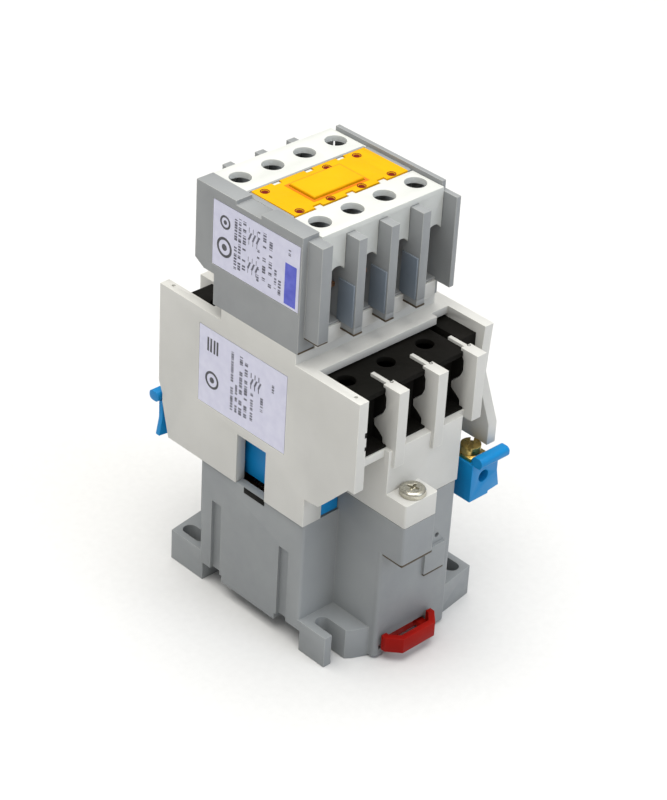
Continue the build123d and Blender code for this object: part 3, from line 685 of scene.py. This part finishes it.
# ------------------------------------------------------------------ printing
@dataclass(frozen=True)
class Line:
    """Line of small print that runs up a label, broken into words and letters."""

    across: float
    width: float
    low: float
    high: float
    word: float = 3.2
    gap: float = 0.7
    wobble: float = 0.6
    wobble_rate: float = 1.3
    letter_rate: float = 1.1
    letter: float = 0.9
    stroke: float = 0.62

    def covers(self, u: float, v: float) -> bool:
        """Whether a point of the label is inked.

        Args:
            u: Distance from the label's far edge, in millimetres.
            v: Height above its lower edge, in millimetres.

        Returns:
            True on the line's letters.
        """
        if abs(u - self.across) > self.width / 2 or not self.low <= v <= self.high:
            return False
        drift = v + self.wobble * math.sin(self.wobble_rate * v + self.across)
        in_word = drift % (self.word + self.gap) < self.word
        return in_word and (v * self.letter_rate) % self.letter < self.stroke


@dataclass(frozen=True)
class Bar:
    """Plain inked rectangle."""

    left: float
    right: float
    low: float
    high: float

    def covers(self, u: float, v: float) -> bool:
        """Whether a point of the label is inked, as for Line."""
        return self.left <= u <= self.right and self.low <= v <= self.high


@dataclass(frozen=True)
class Blade:
    """Slanted stroke of a contact symbol."""

    left: float
    low: float
    length: float
    width: float = 0.3
    lean: float = 0.42

    def covers(self, u: float, v: float) -> bool:
        """Whether a point of the label is inked, as for Line."""
        along = v - self.low
        return 0 <= along <= self.length and abs(u - self.left - self.lean * along) <= self.width


Mark = Line | Bar | Blade


def contact_symbols(left: float, pitch: float, count: int, low: float) -> list[Mark]:
    """Make a row of plain open-contact symbols: a stem, a slanted blade and a second stem.

    Args:
        left: Distance of the first from the label's far edge.
        pitch: Distance between two.
        count: How many.
        low: Height of their lower ends.

    Returns:
        Their marks.
    """
    half, stem, opening = 0.13, 1.5, 1.9
    second = low + stem + opening
    marks: list[Mark] = []
    for index in range(count):
        u = left + pitch * index
        marks.append(Bar(u - half, u + half, low, low + stem))
        marks.append(Blade(u - 0.1, low + stem - 0.1, opening + 0.2))
        marks.append(Bar(u - half, u + half, second, second + stem))
    return marks


@dataclass
class LabelPrint:
    """Raised print on one label: marks picked out of a fine grid."""

    bench: Bench
    node: str
    name: str
    marks: list[Mark]
    finish: Finish = PRINT_GREY
    cell: float = 0.17
    ink: float = 0.025 * MM

    def build(self) -> None:
        """Cut the marks out of a flat grid, thicken them and lay them on the label."""
        low, high = (Vector(corner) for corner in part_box(self.node))
        wide, tall = (high.y - low.y) / MM, (high.z - low.z) / MM
        bpy.ops.object.select_all(action="DESELECT")
        bpy.ops.mesh.primitive_grid_add(x_subdivisions=round(wide / self.cell),
                                        y_subdivisions=round(tall / self.cell), size=1.0)
        piece = bpy.context.object
        piece.scale = (wide, tall, 1.0)
        self.bench.settle(piece, self.name)
        self.bench.pick(piece, lambda centre, normal: not any(
            mark.covers(centre.x + wide / 2, centre.y + tall / 2) for mark in self.marks))
        bpy.ops.mesh.delete(type="FACE")
        bpy.ops.mesh.select_all(action="SELECT")
        bpy.ops.mesh.extrude_region_move(TRANSFORM_OT_translate={"value": (0.0, 0.0, self.ink / MM)})
        bpy.ops.mesh.select_all(action="SELECT")
        bpy.ops.mesh.normals_make_consistent(inside=False)
        self.bench.leave()
        piece.scale = (MM, MM, MM)
        piece.rotation_euler = (math.pi / 2, 0.0, -math.pi / 2)
        piece.location = (low.x, (low.y + high.y) / 2, (low.z + high.z) / 2)
        self.bench.settle(piece, self.name)
        self.bench.finish(piece, self.finish, "label_film")


@dataclass
class RingMark:
    """Plain printed ring with a dot, laid on a label."""

    bench: Bench
    node: str
    name: str
    across: float
    up: float
    radius: float
    line: float
    dot_share: float = 0.45
    slack: float = 0.98
    ink: float = 0.03 * MM

    def build(self) -> None:
        """Inset a disc twice, delete the ring between and thicken the rest."""
        low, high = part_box(self.node)
        centre = Vector((low[0], high[1] - self.across * MM, low[2] + self.up * MM))
        bpy.ops.object.select_all(action="DESELECT")
        bpy.ops.mesh.primitive_circle_add(vertices=40, radius=self.radius * MM, fill_type="NGON",
                                          location=centre, rotation=(0.0, -math.pi / 2, 0.0))
        piece = self.bench.settle(bpy.context.object, self.name)
        self.bench.pick(piece, lambda middle, normal: True)
        bpy.ops.mesh.inset(thickness=self.line * MM)
        outer = (self.radius - self.line) * MM
        inner = outer * self.dot_share
        bpy.ops.mesh.inset(thickness=outer - inner)
        self.bench.leave()
        self.bench.pick(piece, lambda middle, normal: (
            inner * self.slack < (middle - centre).length < outer * self.slack))
        bpy.ops.mesh.delete(type="FACE")
        bpy.ops.mesh.select_all(action="SELECT")
        bpy.ops.mesh.extrude_region_move(TRANSFORM_OT_translate={"value": (-self.ink, 0.0, 0.0)})
        bpy.ops.mesh.select_all(action="SELECT")
        bpy.ops.mesh.normals_make_consistent(inside=False)
        self.bench.leave()
        self.bench.finish(piece, PRINT_BLACK, "label_film")


@dataclass
class ContactorLabel:
    """All print on the contactor's label."""

    bench: Bench

    def build(self) -> None:
        """Print the marks, the small text and the contact symbols."""
        bold = [Bar(3.2 + 1.25 * i, 3.9 + 1.25 * i, 17.2, 21.4) for i in range(4)]
        LabelPrint(self.bench, "contactor_label", "contactor_print_bold", bold, PRINT_BLACK).build()
        lines = [Line(13.4, 0.9, 3.0, 21.4), Line(15.2, 0.8, 3.0, 12.0, 2.2, 0.9),
                 Line(16.9, 1.1, 3.2, 21.6, 2.2, 0.9), Line(18.9, 1.1, 3.0, 20.8, 1.6, 1.2),
                 Line(21.4, 1.1, 3.0, 12.4, 1.4, 0.8), Line(25.2, 1.0, 8.6, 13.6, 1.2, 0.7),
                 Line(29.4, 0.9, 16.6, 19.0)]
        marks = lines + contact_symbols(20.9, 1.5, 3, 13.6)
        LabelPrint(self.bench, "contactor_label", "contactor_print", marks).build()
        RingMark(self.bench, "contactor_label", "contactor_ring", 5.4, 8.6, 2.7, 0.7).build()


@dataclass
class AuxLabel:
    """All print on the auxiliary block's label."""

    bench: Bench

    def build(self) -> None:
        """Print the marks, the text, the contact symbols and the coloured block."""
        lines = [Line(8.8, 1.1, 2.0, 17.2, 2.6, 0.8), Line(10.4, 1.0, 2.0, 17.4, 1.9, 0.6),
                 Line(12.2, 1.2, 2.2, 17.4, 1.5, 1.3), Line(17.6, 0.8, 1.6, 16.8, 0.9, 1.9),
                 Line(19.8, 1.2, 2.2, 17.4, 1.5, 1.6), Line(22.2, 1.1, 2.0, 16.4, 1.3, 1.5),
                 Line(24.2, 0.9, 3.0, 9.0, 3.2, 0.6), Line(25.8, 1.0, 2.0, 8.0, 1.2, 0.6),
                 Line(29.2, 0.9, 14.2, 17.4, 1.0, 0.8)]
        symbols = contact_symbols(13.9, 1.5, 3, 11.6) + contact_symbols(13.9, 1.5, 3, 3.2)
        LabelPrint(self.bench, "aux_label", "aux_print", lines + symbols).build()
        block = [Bar(27.8, 32.0, 0.7, 12.6)]
        LabelPrint(self.bench, "aux_label", "aux_print_block", block, PRINT_BLUE).build()
        RingMark(self.bench, "aux_label", "aux_ring", 4.6, 6.6, 2.9, 0.75).build()
        RingMark(self.bench, "aux_label", "aux_ring_small", 4.7, 14.0, 2.0, 0.6).build()


# ------------------------------------------------------------------ small pieces
@dataclass
class CapSockets:
    """Dark red sockets in the small holes of the yellow top cover."""

    bench: Bench
    rows: tuple[tuple[float, tuple[float, ...]], ...] = (
        (1.3, (2.7, 13.6, 24.7, 35.6)), (14.5, (2.7, 24.7, 35.6)))
    radius: float = 1.3 * MM
    depth: float = 0.4 * MM
    sunk: float = 0.12 * MM
    rim: float = 0.3 * MM

    def build(self) -> None:
        """Model one socket for each hole by inset and extrude."""
        low, high = (Vector(corner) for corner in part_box("aux_top_cover"))
        for row, (y, places) in enumerate(self.rows):
            for index, x in enumerate(places):
                middle = (low.x + x * MM, low.y + y * MM, high.z - self.sunk)
                piece = self.bench.drum(f"cap_socket_{row}_{index}", middle, self.radius, self.depth)
                self.bench.hollow(piece, self.rim, self.rim)
                self.bench.round_off(piece, FINE_ROUNDING)
                self.bench.finish(piece, SOCKET_RED, "slider_yellow")


@dataclass
class SliderFrame:
    """Orange line round the slider's window in the yellow top cover."""

    bench: Bench
    window_low: tuple[float, float] = (17.4, 38.0)
    window_high: tuple[float, float] = (35.2, 47.4)
    gap: float = 0.25 * MM
    line: float = 0.75 * MM
    sunk: float = 0.1 * MM
    proud: float = 0.07 * MM

    def build(self) -> None:
        """Turn a flat block into a frame: inset both faces, delete the middles and bridge them."""
        corner = housing_corner()
        reach = self.gap + self.line
        _, cover_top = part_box("aux_top_cover")
        low = [corner[i] + self.window_low[i] * MM - reach for i in range(2)]
        high = [corner[i] + self.window_high[i] * MM + reach for i in range(2)]
        piece = self.bench.block("slider_frame", (*low, cover_top[2] - self.sunk),
                                 (*high, cover_top[2] + self.proud))
        self.bench.pick(piece, lambda centre, normal: abs(normal.z) > 0.9)
        bpy.ops.mesh.inset(thickness=self.line)
        bpy.ops.mesh.delete(type="FACE")
        bpy.ops.mesh.select_mode(type="EDGE")
        bpy.ops.mesh.select_non_manifold()
        bpy.ops.mesh.bridge_edge_loops()
        bpy.ops.mesh.select_all(action="SELECT")
        bpy.ops.mesh.normals_make_consistent(inside=False)
        self.bench.leave()
        self.bench.finish(piece, CAP_ORANGE, "slider_yellow")


@dataclass(frozen=True)
class Trim:
    """Small trim block, placed from the housing's corner in millimetres."""

    name: str
    x: tuple[float, float]
    y: tuple[float, float]
    z: tuple[float, float]
    finish: Finish
    slot: str
    turned: bool = False

    def corners(self, sign: int = 1) -> tuple[Vector, Vector]:
        """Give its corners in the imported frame.

        Args:
            sign: 1 for the block itself, -1 for its copy turned half round.

        Returns:
            Lowest and highest corner.
        """
        corner = housing_corner()
        ends = [corner + Vector(place) * MM for place in zip(self.x, self.y, self.z)]
        ends = [Vector((sign * end.x, sign * end.y, end.z)) for end in ends]
        return Vector(map(min, *ends)), Vector(map(max, *ends))


@dataclass
class TrimBlocks:
    """Painted shadow lines under edges and fins, a black plate painted as the shade in a slot, nicks, feet,
    rails and sills that finish the mouldings' joints.
    """

    bench: Bench
    fins: tuple[float, ...] = FIN_MIDDLES
    rim: float = 0.15 * MM
    recess: float = 0.05 * MM
    rounding: float = 0.07 * MM

    def trims(self) -> list[Trim]:
        """List the trim blocks.

        Returns:
            All of them.
        """
        grey, white = (AUX_GREY, "aux_grey"), (HOUSING_WHITE, "housing_white")
        dark, black = (PAINTED_SHADOW_LINE, "base_grey"), (SHROUD_BLACK, "shroud_black")
        found = [
            # The next four blocks are painted shadow lines in dark brown: under the pillar bosses, under
            # the pads, under the outer side panel and under the body's lower edge.
            Trim("pillar_shadow_line", (13.55, 24.95), (-6.3, 1.0), (35.6, 36.35), *dark, turned=True),
            Trim("pad_shadow_line", (30.0, 37.4), (0.3, 1.1), (21.1, 21.75), *dark, turned=True),
            Trim("side_wall_shadow_line", (2.05, 5.55), (18.3, 23.45), (97.15, 97.58), *dark),
            Trim("body_shadow_line", (0.1, 5.7), (23.35, 24.0), (93.02, 93.5), *dark),
            Trim("platform_sill", (5.75, 49.45), (22.8, 23.6), (93.05, 97.8), *white),
            Trim("cap_rail_left", (5.65, 7.45), (34.7, 51.3), (123.8, 126.1), *grey),
            Trim("cap_rail_right", (48.15, 49.5), (34.7, 51.3), (123.8, 126.1), *grey),
            Trim("cap_far_line", (6.2, 48.4), (51.3, 51.95), (125.8, 126.42), *grey),
            Trim("slot_shadow", (0.25, 0.45), (33.8, 42.0), (39.7, 41.45), *black),
            Trim("wall_nick_high", (2.55, 3.28), (-0.05, 1.0), (78.4, 80.0), *black),
            Trim("wall_nick_low", (2.75, 3.28), (-0.05, 1.0), (74.4, 75.6), *black),
        ]
        for index, x in enumerate(self.fins):
            found.append(Trim(f"fin_foot_{index}", (x - 1.45, x + 1.45), (17.9, 23.4), (96.3, 98.2), *grey))
            # Painted shadow line in dark brown under the foot of each fin.
            found.append(Trim(f"fin_line_{index}", (x - 1.6, x + 1.5), (17.75, 23.4), (95.8, 96.35), *dark))
        return found

    def build(self) -> None:
        """Model each block with a recessed underside and rounded edges."""
        for trim in self.trims():
            for end, sign in enumerate((1, -1) if trim.turned else (1,)):
                piece = self.bench.block(f"{trim.name}_{end}", *trim.corners(sign))
                self.bench.pick(piece, lambda centre, normal: normal.z < -0.9)
                bpy.ops.mesh.inset(thickness=self.rim, depth=-self.recess)
                self.bench.leave()
                self.bench.round_off(piece, self.rounding)
                self.bench.finish(piece, trim.finish, trim.slot)


@dataclass
class FinLedges:
    """Thicker lower halves of the auxiliary block's fins, with a ledge at mid height, in a darker bluish
    grey that is painted shade.
    """

    bench: Bench
    middles: tuple[float, ...] = FIN_MIDDLES
    fin: float = 2.9
    rise: float = 5.2
    height: float = 12.4
    span: tuple[float, float] = (0.5, 6.4)
    thick: float = 0.32
    bite: float = 0.1
    rim: float = 0.3 * MM
    bulge: float = 0.08 * MM

    def build(self) -> None:
        """Model the raised panel of each fin."""
        low, _ = (Vector(corner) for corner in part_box("aux_housing"))
        for index, middle in enumerate(self.middles):
            face = middle - self.fin / 2
            start = low + Vector((face - self.thick, self.span[0], self.rise)) * MM
            end = low + Vector((face + self.bite, self.span[1], self.rise + self.height)) * MM
            piece = self.bench.block(f"fin_ledge_{index}", start, end)
            self.bench.pick(piece, lambda centre, normal: normal.x < -0.9)
            bpy.ops.mesh.inset(thickness=self.rim, depth=self.bulge)
            self.bench.leave()
            self.bench.round_off(piece, FINE_ROUNDING)
            # The ledges take the darker grey that paints the shade on the fins' lower sides.
            self.bench.finish(piece, FIN_SIDE_PAINTED_SHADE, "aux_grey")


@dataclass
class GateMarks:
    """Small round gate marks left by moulding on the tops of the terminal ribs."""

    bench: Bench
    radius: float = 0.5 * MM
    drop: float = 5.9
    first: float = 2.6
    pitch: float = 14.35
    inset: float = 5.6
    height: float = 0.12 * MM
    rim: float = 0.15 * MM
    dish: float = 0.08 * MM
    sides: int = 20

    def build(self) -> None:
        """Model a shallow dished mark on each rib at both ends."""
        corner = housing_corner()
        _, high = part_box("upper_housing")
        top = high[2] - self.drop * MM
        near = corner.y + self.inset * MM
        for index in range(1, 4):
            x = corner.x + (self.first + self.pitch * index) * MM
            for end, y in enumerate((near, -near)):
                piece = self.bench.drum(f"gate_mark_{end}_{index}", (x, y, top), self.radius,
                                        self.height, self.sides)
                self.bench.hollow(piece, self.rim, self.dish)
                self.bench.finish(piece, SHROUD_BLACK, "housing_white")


# ------------------------------------------------------------------ studio
@dataclass(frozen=True)
class Lamp:
    """Square soft light: place and side in metres, power in watts."""

    name: str
    place: tuple[float, float, float]
    side: float
    power: float
    colour: Colour


@dataclass
class Studio:
    """Pale floor, soft lights and the camera."""

    paintbox: Paintbox
    target: tuple[float, float, float] = (0.0, 0.001, 0.060)
    azimuth: float = -45.297
    elevation: float = 32.901
    roll: float = 3.475
    distance: float = 0.66644
    slide: tuple[float, float] = (0.0020015, -0.0002568)
    lens: float = 109.2
    floor_side: float = 6.0
    floor_drop: float = 0.05 * MM
    horizon: tuple[Colour, float] = ((0.92, 0.96, 1.0), 0.14)
    zenith: tuple[Colour, float] = ((1.0, 0.99, 0.97), 1.05)
    lamps: tuple[Lamp, ...] = (
        Lamp("top_light", (-0.15, 0.05, 1.5), 1.6, 27.0, (1.0, 0.985, 0.94)),
        Lamp("front_light", (0.35, -1.2, 0.75), 0.7, 4.6, (0.74, 0.84, 1.0)))

    def floor(self) -> None:
        """Lay the floor under the feet."""
        bpy.ops.object.select_all(action="DESELECT")
        bpy.ops.mesh.primitive_plane_add(size=self.floor_side, location=(0.0, 0.0, -self.floor_drop))
        floor = bpy.context.object
        floor.name = "studio_floor"
        self.paintbox.dress(floor, FLOOR_PAINT)

    def hang(self, lamp: Lamp) -> None:
        """Hang one lamp so that it faces the object.

        Args:
            lamp: The lamp.
        """
        data = bpy.data.lights.new(lamp.name, "AREA")
        data.size = lamp.side
        data.energy = lamp.power
        data.color = lamp.colour
        light = bpy.data.objects.new(lamp.name, data)
        bpy.context.scene.collection.objects.link(light)
        light.location = lamp.place
        aim = Vector(self.target) - Vector(lamp.place)
        light.rotation_euler = aim.to_track_quat("-Z", "Y").to_euler()

    def sky(self) -> None:
        """Fill the room with light that grows from the horizon to the zenith."""
        world = bpy.data.worlds.new("room")
        bpy.context.scene.world = world
        world.use_nodes = True
        nodes, links = world.node_tree.nodes, world.node_tree.links
        split = nodes.new("ShaderNodeSeparateXYZ")
        links.new(nodes.new("ShaderNodeTexCoord").outputs["Generated"], split.inputs[0])
        tint = nodes.new("ShaderNodeMix")
        tint.data_type = "RGBA"
        links.new(split.outputs["Z"], tint.inputs[MIX_FACTOR])
        for index, (colour, strength) in ((MIX_FIRST, self.horizon), (MIX_SECOND, self.zenith)):
            tint.inputs[index].default_value = (*(channel * strength for channel in colour), 1.0)
        links.new(tint.outputs[MIX_COLOUR], nodes["Background"].inputs["Color"])

    def camera(self) -> None:
        """Set up the camera."""
        a, e, r = (math.radians(value) for value in (self.azimuth, self.elevation, self.roll))
        back = Vector((math.sin(a) * math.cos(e), -math.cos(a) * math.cos(e), math.sin(e)))
        right = Vector((math.cos(a), math.sin(a), 0.0))
        up = back.cross(right)
        place = Vector(self.target) + back * self.distance + right * self.slide[0] + up * self.slide[1]
        tilted = right * math.cos(r) + up * math.sin(r)
        upright = up * math.cos(r) - right * math.sin(r)
        data = bpy.data.cameras.new("camera")
        data.lens = self.lens
        data.clip_start, data.clip_end = 0.05, 20.0
        camera = bpy.data.objects.new("camera", data)
        bpy.context.scene.collection.objects.link(camera)
        turn = Matrix((tilted, upright, back)).transposed().to_4x4()
        camera.matrix_world = Matrix.Translation(place) @ turn
        bpy.context.scene.camera = camera

    def build(self) -> None:
        """Set up floor, lights, colour handling and camera."""
        self.floor()
        self.sky()
        for lamp in self.lamps:
            self.hang(lamp)
        bpy.context.scene.view_settings.view_transform = "Standard"
        self.camera()


def main() -> None:
    """Build every sub-assembly in order."""
    logging.basicConfig(level=logging.INFO, format="%(name)s %(message)s")
    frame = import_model()
    paintbox = Paintbox()
    bench = Bench(paintbox)
    PlainNodes(paintbox).build()
    ReturnSpring(bench).build(frame["joints"])
    SoftenedMouldings(bench).build()
    ContactorLabel(bench).build()
    AuxLabel(bench).build()
    CapSockets(bench).build()
    SliderFrame(bench).build()
    TrimBlocks(bench).build()
    FinLedges(bench).build()
    GateMarks(bench).build()
    Studio(paintbox).build()
    bpy.context.view_layer.update()


if __name__ == "__main__":
    main()
